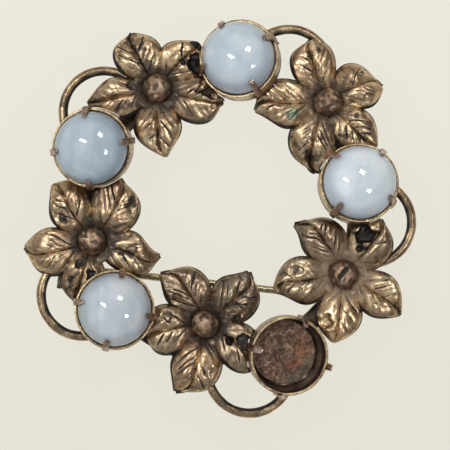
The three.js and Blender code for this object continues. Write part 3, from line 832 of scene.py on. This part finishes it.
def petalRelief(sheet, petal, rootDirt, seed):
    # midrib, side veins, swollen lobes, rolled edges and dents, with the dirt that lies in them and painted
    # shade on the margins
    look = flowerLook
    length, lift, veins, dents = petal[1], petal[5], petal[6], petal[7]
    left, right = petalHalves(petal)
    chance = random.Random(seed)
    points = meshPoints(sheet)
    layer = sheet.data.uv_layers.active.data
    uv = np.zeros((len(points), 2))
    for loop in sheet.data.loops:
        uv[loop.vertex_index] = layer[loop.index].uv
    stations = np.array(look["stations"])
    along = np.interp(uv[:, 0], np.linspace(0, 1, len(stations)), stations)
    across = uv[:, 1] * 2 - 1
    half = np.interp(along, stations, (np.array(left) + np.array(right)) / 2)
    side = np.abs(across)
    out = side * half
    forward = along * length
    leaf = np.clip(half / 3.2, 0, 1)
    flat = np.c_[forward, across * half, np.full(len(points), seed * 2.7)]
    swell = noiseAt(flat, 3.1, seed)
    crumple = noiseAt(flat, 0.9, seed + 1)
    bent = noiseAt(flat, 2.0, seed + 2)

    height = -look["edgeDrop"] * leaf * side ** 2
    height += look["pillow"] * leaf * np.sin(np.pi * side ** 0.7) * smoothStep(0.08, 0.4, along)
    height += look["swell"] * swell * smoothStep(0.15, 0.5, along)
    height += look["dents"] * crumple * smoothStep(0.1, 0.3, along)
    height += lift * 2.0 * smoothStep(0.6, 1.0, along)

    groove = np.zeros(len(points))
    nearest = np.full(len(points), 9.0)
    for sign in (-1, 1):
        here = (across * sign > 0)
        begin = 0.2 + 0.06 * chance.random()
        for number in range(veins):
            start = (number + 0.3 * chance.random()) / max(veins - 0.4, 1)
            start = (begin + (0.74 - begin) * start) * length
            slope = 0.75 + 0.35 * chance.random()
            reach = 0.45 + 0.4 * chance.random()
            strength = 0.15 + 1.0 * chance.random()
            gap = (forward - start - out * slope - 0.07 * out ** 2 + 0.25 * bent) * 0.72
            window = smoothStep(0.06, 0.2, side) * smoothStep(reach + 0.05, reach - 0.15, side) * here
            width = look["veinWidth"] * (0.8 + 0.6 * strength)
            groove = np.maximum(groove, np.exp(-(gap / width) ** 2) * window * strength)
            nearest = np.where(here, np.minimum(nearest, np.abs(gap)), nearest)
    height -= look["veinDepth"] * groove
    quilt = (1 - np.exp(-(nearest / 0.42) ** 2)) * smoothStep(0.0, 0.3, side) * smoothStep(1.0, 0.7, side)
    height += look["quilt"] * quilt * smoothStep(0.2, 0.4, along) * smoothStep(1.0, 0.8, along)

    rib = np.exp(-(out / look["ribWidth"]) ** 2)
    rib = rib * smoothStep(0.12, 0.3, along) * smoothStep(1.0, 0.9, along)
    valley = np.exp(-(out / 0.38) ** 2) * smoothStep(0.1, 0.3, along)
    height -= look["ribDepth"] * rib + 0.09 * valley

    rim = np.c_[along * 2.2, np.sign(across) * 5, np.full(len(points), seed * 1.3)]
    curl = 0.5 + 0.5 * noiseAt(rim, 1.0, seed)
    height -= look["roll"] * smoothStep(0.8, 1.0, side) ** 1.5 * (0.3 + 1.1 * curl)

    dirtAndShade = np.zeros(len(points))
    for place, aside, radius, depth, black in dents:
        away = np.hypot(forward - place * length, (across - aside) * half) / radius
        away = away + 0.5 * bent + 0.75 * crumple
        height -= depth * smoothStep(1.0, 0.35, away)
        # a black pit has a hard rim, a lighter one fades out
        core, strength = (0.8, black) if black > 1 else (0.1, black * 0.6)
        dirtAndShade = np.maximum(dirtAndShade, smoothStep(1.0, core, away) * strength)
    points[:, 2] += height
    setMeshPoints(sheet, points)

    # the margin is dark with oxide all round, and a broad painted shade darkens it where it faces away from
    # the light
    sideways = compass(petal[0] + 90).dot(shadeSide)
    ahead = compass(petal[0]).dot(shadeSide)
    facing = np.clip(across * sideways + ahead * smoothStep(0.75, 1.0, along), -0.4, 1.0)
    margin = 0.05 + 0.09 * np.clip(facing, 0, 1)
    edge = smoothStep(1 - margin * 1.6, 1 - margin * 0.5, side) * (0.75 + 0.5 * facing)
    edge += smoothStep(0.96, 1.0, along) * 0.4
    root = smoothStep(0.42, 0.2, along) * rootDirt
    hollow = smoothStep(0.0, -0.45, swell) * 0.3
    dirtAndShade = dirtAndShade + root + groove * 1.4 + rib * 0.3 + valley * 0.06 + hollow + edge
    crest = smoothStep(0.5, 1.0, quilt) * 0.14
    paint(sheet, "tarnishAndShade", dirtAndShade - crest)


def trimToCups(sheet):
    # the sheet stops at the wall of each cup it meets
    clear = cupOutside + 0.1

    def inCup(inverse):
        local = meshPoints(sheet) @ inverse[:3, :3].T + inverse[:3, 3]
        return local, (reachOf(local) < clear) & (local[:, 2] > -0.1)

    for cup in cups.values():
        rimCentre = np.array(cup["place"] @ Vector((0, 0, cupLook["height"])))
        if np.min(reachOf(meshPoints(sheet) - rimCentre)) > clear + 1.5:
            continue
        place, inverse = np.array(cup["place"]), np.array(cup["inverse"])
        local, inside = inCup(inverse)
        if not inside.any():
            continue
        openMesh(sheet, "FACE")
        bpy.ops.mesh.select_all(action="DESELECT")
        body = bmesh.from_edit_mesh(sheet.data)
        body.verts.ensure_lookup_table()
        for face in body.faces:
            face.select = all(inside[vertex.index] for vertex in face.verts)
        bmesh.update_edit_mesh(sheet.data)
        bpy.ops.mesh.delete(type="FACE")
        closeMesh()
        local, inside = inCup(inverse)
        push = np.where(inside, clear / np.maximum(reachOf(local), 1e-6), 1.0)
        local[:, :2] *= push[:, None]
        setMeshPoints(sheet, local @ place[:3, :3].T + place[:3, 3])
    openWhole(sheet)
    bpy.ops.mesh.remove_doubles(threshold=0.004)
    bpy.ops.mesh.delete_loose()
    closeMesh()


def makeHub(centre, dust, seed):
    # the sunken middle that the petals run into, closed below by the boss on the ring
    hub = turned("hub", [
        (0, 0.01), (1.9, 0.01), (2.3, 0.12), (2.5, 0.4), (2.45, 0.9), (2.9, 1.75), (3.3, 2.3), (3.25, 2.5),
        (2.9, 2.48), (2.5, 2.3), (2.1, 2.05), (1.7, 1.7), (1.3, 1.4), (0, 1.2),
    ], 72)
    subdivide(hub, 1)
    roughen(hub, [(1.5, 0.16), (0.5, 0.08)], seed)
    points = meshPoints(hub)
    paint(hub, "dust", dust + noiseAt(points, 0.8, seed) * dust)
    paint(hub, "gild", 0.4)
    paint(hub, "tarnishAndShade", 0.75 - 0.4 * dust + noiseAt(points, 1.0, seed + 1) * 0.4)
    movePiece(hub, Matrix.Translation(centre))
    smoothShade(hub, 50)
    return hub


def makeBead(name, centre, seed):
    deselectAll()
    bpy.ops.mesh.primitive_uv_sphere_add(segments=64, ring_count=40, radius=flowerLook["beadRadius"])
    bead = newest(name)
    roughen(bead, [(1.6, 0.26), (0.7, 0.15), (0.3, 0.07)], seed)
    points = meshPoints(bead)
    for facet, level in (((0.2, -0.1, 1.0), 0.93), ((-0.5, 0.35, 0.8), 0.96)):
        facet = np.array(Vector(facet).normalized())
        over = points @ facet - flowerLook["beadRadius"] * level
        points -= np.outer(np.clip(over, 0, None) * 0.8, facet)
    groove = np.zeros(len(points))
    if name[-1] == "4":
        # worn flat on top, with a cut across it
        over = points[:, 2] - flowerLook["beadRadius"] * 0.84
        points[:, 2] -= np.clip(over, 0, None) * 0.85
        cut = points @ np.array([0.77, -0.64, 0]) + 0.2
        groove = np.exp(-(cut / 0.27) ** 4) * smoothStep(1.2, 0.8, reachOf(points))
        groove *= smoothStep(0.6, 1.2, points[:, 2])
        points[:, 2] -= groove * 0.3
    setMeshPoints(bead, points)
    # painted shade: the bead darkens towards its lower half; the cut and the pits are dark with dirt
    low = smoothStep(0.6, -0.8, points[:, 2]) + groove * 1.2
    pits = smoothStep(0.05, -0.35, noiseAt(points, 0.6, seed + 1))
    fitPiece(bead, low * 0.75 + pits * 0.35 + 0.12, 60, Matrix.Translation(centre), "bead",
             rootBody, "bead_brass", "flower_bead_" + name[-1])


shadeSide = compass(236)    # the side away from the light, where petal margins get a broad painted shade
rootDirt = {"flower_1": 0.75, "flower_2": 0.5, "flower_3": 0.8, "flower_4": 0.2, "flower_5": 0.8}
dustiness = {"flower_1": 0.15, "flower_2": 0.25, "flower_3": 0.15, "flower_4": 0.85, "flower_5": 0.1}
gilding = {
    "flower_1": (0.8, 1.0, 0.35, 0.75, 0.6), "flower_2": (1.0, 0.9, 0.75, 0.5, 0.8),
    "flower_3": (0.7, 0.5, 0.6, 0.8, 0.95), "flower_4": (0.25, 0.3, 0.75, 0.95, 0.4),
    "flower_5": (0.2, 0.0, 0.2, 0.85, 0.45),
}
verdigrisSpot = {"flower": "flower_2", "offset": (-4.9, -1.7), "radius": 1.35}

for number, (name, petals) in enumerate(flowers.items(), 1):
    beadMiddle = middleOf(f"flower_bead_{number}")
    centre = Vector((beadMiddle.x, beadMiddle.y, ringFront))
    sheets = []
    for order, petal in enumerate(petals):
        sheet = petalSheet(f"{name}_petal_{order + 1}", petal)
        petalRelief(sheet, petal, rootDirt[name], number * 10 + order)
        share = np.clip(meshPoints(sheet)[:, 0] / petal[1], 0, 1)
        paint(sheet, "dust", smoothStep(0.5, 0.25, share) * dustiness[name])
        paint(sheet, "gild", gilding[name][order])
        turn = Matrix.Rotation(math.radians(petal[0]), 4, "Z")
        movePiece(sheet, Matrix.Translation(centre) @ turn)
        trimToCups(sheet)
        applyModifier(sheet, "SOLIDIFY", thickness=flowerLook["thickness"], offset=-1,
                      use_even_offset=False)
        sheet.data.materials.clear()
        sheets.append(sheet)
    sheets.append(makeHub(centre, dustiness[name], number))
    whole = joinPieces(sheets, name + "_leaf")
    if name == verdigrisSpot["flower"]:
        points = meshPoints(whole)[:, :2] - np.array(centre.xy) - np.array(verdigrisSpot["offset"])
        paint(whole, "verdigris", smoothStep(1.0, 0.5, np.hypot(*points.T) / verdigrisSpot["radius"]))
    smoothShade(whole, 48)
    finishes = [brass[side] for side in ("petal", "petalShadedEdge", "petalShadedBack")]
    finishPiece(whole, finishes, rootBody, "petal_brass", name)
    # faces that look up take the petal brass, side faces and the underside its darker copies as painted
    # shade
    for face in whole.data.polygons:
        face.material_index = 0 if face.normal.z > 0.12 else 1 if face.normal.z > -0.3 else 2
    makeBead(f"centre_bead_{number}", beadMiddle, number * 4)
    print(name, len(whole.data.polygons), "faces")

# Back ring

inner, outer, edge = ringLook["inner"], ringLook["outer"], ringLook["edge"]
ring = turned("wreath_ring", [
    (inner, ringLow.z + edge), (inner + edge, ringLow.z), (outer - edge, ringLow.z),
    (outer, ringLow.z + edge), (outer, ringHigh.z - edge), (outer - edge, ringHigh.z),
    (19.2, ringHigh.z), (18.4, ringHigh.z), (inner + edge, ringHigh.z), (inner, ringHigh.z - edge),
    (inner, ringLow.z + edge),
], ringLook["steps"])
roughen(ring, [(2.5, 0.03), (0.8, 0.02)], 5)
movePiece(ring, Matrix.Translation(ringCentre))
points = meshPoints(ring)
# painted shade with oxide: the front face, under the flowers, is darkened
above = smoothStep(ringHigh.z - 0.1, ringHigh.z, points[:, 2])
fitPiece(ring, 0.15 + noiseAt(points, 2.0, 8) * 0.5 + above * 0.45, 35, Matrix(), "ring",
         rootBody, "ring_brass", "back_ring")
print("ring made")

# Wire loops

loopLook = {"wire": 0.65, "sides": 20, "steps": 44, "height": 1.55}
# loops: flower, cup, then reach and direction of each end from them, and how far the wire bulges
loops = {
    "loop_1": ("flower_1", "cup_2", (4.7, 160), (4.4, 143), 3.95),
    "loop_2": ("flower_2", "cup_1", (3.9, 86), (3.9, 41), 3.7),
    "loop_3": ("flower_3", "cup_3", (6.8, 214), (4.1, 233), 4.3),
    "loop_4": ("flower_4", "cup_4", (4.5, 19), (4.6, -7), 3.9),
    "loop_5": ("flower_5", "cup_5", (7.6, -86), (4.8, 266), 3.95),
}


def makeLoop(name, spec, seed):
    flower, cup, fromFlower, fromCup, bulge = spec
    bead = middleOf("flower_bead_" + flower[-1])
    rim = cups[cup]["place"] @ Vector((0, 0, cupLook["height"]))
    height = ringFront + loopLook["height"]
    start = Vector((bead.x, bead.y, height)) + compass(fromFlower[1], fromFlower[0])
    end = Vector((rim.x, rim.y, height)) + compass(fromCup[1], fromCup[0])
    chord = end - start
    outward = Vector((start.y - end.y, end.x - start.x, 0)).normalized()
    if outward.dot(start - ringCentre) < 0:
        outward.negate()
    radius = (chord.length ** 2 / 4 + bulge ** 2) / (2 * bulge)
    middle = (start + end) / 2 + outward * (bulge - radius)
    first = math.atan2(start.y - middle.y, start.x - middle.x)
    last = math.atan2(end.y - middle.y, end.x - middle.x)
    sweep = (last - first) % (2 * math.pi)
    if outward.dot(compass(math.degrees(first + sweep / 2))) < 0:
        sweep -= 2 * math.pi
    deselectAll()
    bpy.ops.mesh.primitive_circle_add(vertices=loopLook["sides"], radius=loopLook["wire"], fill_type="NGON",
                                      location=start, rotation=(math.pi / 2, 0, first))
    wire = newest(name + "_wire")
    bpy.ops.object.transform_apply(location=True, rotation=True, scale=True)
    openWhole(wire, "FACE")
    # spin turns clockwise
    bpy.ops.mesh.spin(steps=loopLook["steps"], angle=-sweep, center=middle, axis=(0, 0, 1))
    closeMesh()
    cleanMesh(wire)
    roughen(wire, [(2.2, 0.05), (0.7, 0.02)], seed)
    points = meshPoints(wire)
    # painted shade: the wire darkens on the inner side of its bend and underneath
    arm = np.hypot(points[:, 0] - middle.x, points[:, 1] - middle.y) - radius
    inner = smoothStep(0.1, -0.5, arm)
    under = smoothStep(0.25, -0.3, points[:, 2] - height)
    fitPiece(wire, inner * 0.75 + under * 0.6 + noiseAt(points, 1.5, seed) * 0.4, 50, Matrix(), "wire",
             rootBody, "wire_brass", name)


for number, (name, spec) in enumerate(loops.items(), 1):
    makeLoop(name, spec, number * 3)
print("loops bent")

# Pin and its fittings. Their frame has x along the stem and y along the hinge.

swing = frame["joints"][0]
hingePoint = Vector(swing["pos_m"]) / milli
hingeAxis = Vector(swing["axis"]).normalized()
stemAxis = Vector((hingeAxis.y, -hingeAxis.x, 0))
pinPlace = Matrix.Translation(hingePoint) @ Matrix((
    (stemAxis.x, hingeAxis.x, 0, 0), (stemAxis.y, hingeAxis.y, 0, 0), (0, 0, 1, 0), (0, 0, 0, 1),
))
toAcross = Matrix.Rotation(-math.pi / 2, 4, "X")
toAlong = Matrix.Rotation(math.pi / 2, 4, "Y")
pinLook = {
    "plateLength": 6.0, "plateWidth": 6.0, "plate": 0.6, "margin": 1.65, "knuckle": 1.2, "outer": 1.6,
    "rivet": 0.45, "stem": 0.52, "tip": 0.12, "taper": 7.0, "reach": 39.827, "catchAcross": 1.65,
    "catchInner": 1.1, "catchStrip": 0.45, "catchWidth": 1.8, "catchAlong": 37.227,
}


def tube(name, outer, inner, length):
    edge, half = 0.08, length / 2
    return turned(name, [
        (inner, -half), (outer - edge, -half), (outer, -half + edge), (outer, half - edge),
        (outer - edge, half), (inner, half), (inner, -half),
    ], 40)


def makeHinge():
    length, width, plate = pinLook["plateLength"], pinLook["plateWidth"], pinLook["plate"]
    outer, knuckle = pinLook["outer"], pinLook["knuckle"]
    parts = [block("plate", (length, width, plate - 0.02),
                   (length / 2 - pinLook["margin"], 0, knuckle + plate / 2), 0.12)]
    for side in (-1, 1):
        place = side * (width - outer) / 2
        barrel = tube("barrel", knuckle, pinLook["rivet"] + 0.05, outer)
        movePiece(barrel, Matrix.Translation((0, place, 0)) @ toAcross)
        parts += [barrel, block("web", (1.7, outer - 0.1, 0.8), (0, place, 0.95), 0.1)]
    hinge = joinPieces(parts, "hinge_bracket")
    fitPiece(hinge, 0.2 + noiseAt(meshPoints(hinge), 1.2, 2) * 0.5, 40, pinPlace, "fitting",
             rootBody, "fitting_brass", "hinge_plate")


def makeRivet():
    end, radius = pinLook["plateWidth"] / 2 + 0.25, pinLook["rivet"]
    rivet = turned("hinge_pin", [
        (0, -end), (radius * 0.7, -end + 0.03), (radius, -end + 0.12), (radius, end - 0.12),
        (radius * 0.7, end - 0.03), (0, end),
    ], 28)
    fitPiece(rivet, 0.2, 50, pinPlace @ toAcross, "pin", rootBody, "pin_brass", "hinge_rivet")


def makeKnuckle():
    length = pinLook["plateWidth"] - 2 * (pinLook["outer"] + 0.12)
    knuckle = tube("pin_knuckle", pinLook["knuckle"] - 0.12, pinLook["rivet"] + 0.06, length)
    fitPiece(knuckle, 0.2 + noiseAt(meshPoints(knuckle), 0.9, 4) * 0.4, 40, pinPlace @ toAcross, "pin",
             knuckleBody, "pin_brass", "hinge_knuckle")


def makeStem():
    root, reach, radius, tip = pinLook["knuckle"], pinLook["reach"], pinLook["stem"], pinLook["tip"]
    shank = reach - pinLook["taper"]
    profile = [(0, root), (radius - 0.06, root), (radius, root + 0.06)]
    lengths, stops = 20, 8
    for number in range(1, lengths):
        profile.append((radius, root + 0.06 + (shank - root) * number / lengths))
    for number in range(stops + 1):
        share = number / stops
        slim = math.cos(share * math.pi / 2) ** 0.8
        profile.append((tip + (radius - tip) * slim, reach - pinLook["taper"] * (1 - share) - 0.12))
    stem = turned("pin_needle", profile + [(0, reach)], 28)
    roughen(stem, [(3.0, 0.02)], 7)
    fitPiece(stem, 0.12 + noiseAt(meshPoints(stem), 2.5, 4) * 0.3, 50, pinPlace @ toAlong, "pin",
             stemBody, "pin_brass", "pin_stem")


def makeCatch():
    # a strip bent round into a C and its foot on the ring
    inner, strip, width = pinLook["catchInner"], pinLook["catchStrip"], pinLook["catchWidth"]
    bpy.ops.mesh.primitive_plane_add(size=1, location=(0, 0, 0))
    hook = newest("hook")
    openWhole(hook, "FACE")
    bpy.ops.transform.resize(value=(width, strip, 1))
    bpy.ops.transform.rotate(value=math.pi / 2, orient_axis="X", center_override=(0, 0, 0))
    bpy.ops.transform.translate(value=(0, 0, inner + strip / 2))
    bpy.ops.mesh.spin(steps=26, angle=math.radians(200), center=(0, 0, 0), axis=(1, 0, 0))
    closeMesh()
    cleanMesh(hook)
    bevelEdges(hook, 0.07)
    high = pinLook["knuckle"] + pinLook["plate"]
    tab = block("tab", (width, 2 * (inner + strip), high - inner - 0.02), (0, 0, (high + inner) / 2), 0.1)
    catch = joinPieces([tab, hook], "pin_hook")
    place = pinPlace @ Matrix.Translation((pinLook["catchAlong"], pinLook["catchAcross"], 0))
    fitPiece(catch, 0.2 + noiseAt(meshPoints(catch), 1.0, 9) * 0.5, 40, place, "fitting",
             rootBody, "fitting_brass", "pin_catch")


makeHinge()
makeRivet()
makeKnuckle()
makeStem()
makeCatch()
print("pin fitted")

for model in (shellModel, prongModel, stoneModel):
    bpy.data.objects.remove(model)

# Floor, light and camera

stageLook = {
    "floor": (0.801, 0.776, 0.683), "floorSize": 3.0, "world": (0.95, 0.97, 1.0),
    "tent": ((0.0, 0.30), (0.5, 0.55), (0.8, 0.95), (0.92, 1.0), (0.95, 0.5), (0.97, 0.12), (1.0, 0.10)),
}
bpy.ops.mesh.primitive_plane_add(size=stageLook["floorSize"], location=(0, 0, -0.0003))
floor = newest("floor")
paper, paperTree, sockets = newFinish("pale_paper")
place = addNode(paperTree, "TexCoord").outputs["Object"]
# the floor glows a little brighter towards +Y: a painted fall of light
across = addNode(paperTree, "SeparateXYZ", {"Vector": place}).outputs["Y"]
plugAll(sockets, {
    "Base Color": (0.06, 0.06, 0.05, 1), "Roughness": 0.9, "Specular IOR Level": 0.0,
    "Emission Color": (*stageLook["floor"], 1),
    "Emission Strength": remap(paperTree, across, -0.03, 0.03, 0.92, 0.975, "LINEAR"),
})
floor.data.materials.append(paper)

world = bpy.data.worlds.new("studio")
bpy.context.scene.world = world
world.use_nodes = True
worldTree = world.node_tree
background = worldTree.nodes["Background"]
direction = addNode(worldTree, "TexCoord").outputs["Generated"]
axes = addNode(worldTree, "SeparateXYZ", {"Vector": direction}).outputs
lit = times(worldTree, axes["Y"], 0.05, times(worldTree, axes["X"], -0.95))
tent = colourRamp(worldTree, axes["Z"], [(stop, (level,) * 3) for stop, level in stageLook["tent"]])
panels = remap(worldTree, speckle(worldTree, direction, 1.6, 2.0, 0.5, 0.4), 0.38, 0.62, 0.45, 1.1)
slope = remap(worldTree, lit, -0.7, 0.6, 0.5, 1.35)
plugAll(background.inputs, {
    "Color": mixColour(worldTree, 1.0, tent, stageLook["world"], "MULTIPLY"),
    "Strength": times(worldTree, panels, slope),
})

# softboxes: direction, degrees off the vertical, width, length, radiance
softboxes = {
    "left": (151, 30, 0.045, 0.13, 32), "top": (66, 34, 0.09, 0.09, 17), "right": (-23, 31, 0.08, 0.08, 20),
}
lightDistance = 0.5
for name, (direction, offVertical, width, length, radiance) in softboxes.items():
    lean = math.radians(offVertical)
    toLight = compass(direction, math.sin(lean)) + Vector((0, 0, math.cos(lean)))
    bpy.ops.object.light_add(type="AREA", location=toLight * lightDistance)
    lamp = bpy.context.active_object
    lamp.name = "softbox_" + name
    lamp.rotation_euler = toLight.to_track_quat("Z", "Y").to_euler()
    lamp.data.shape = "RECTANGLE"
    lamp.data.size = width
    lamp.data.size_y = length
    lamp.data.energy = radiance * math.pi * width * length

cameraLook = {"frameWidth": 0.0619, "distance": 0.35, "aim": (0.00064, -0.00084), "plane": 0.006, "film": 36}
aboveWreath = cameraLook["plane"] + cameraLook["distance"]
bpy.ops.object.camera_add(location=(*cameraLook["aim"], aboveWreath))
camera = bpy.context.active_object
camera.name = "camera"
camera.data.sensor_width = cameraLook["film"]
camera.data.lens = cameraLook["film"] * cameraLook["distance"] / cameraLook["frameWidth"]
camera.data.clip_start = 0.01
bpy.context.scene.camera = camera
bpy.context.scene.view_settings.view_transform = "Standard"
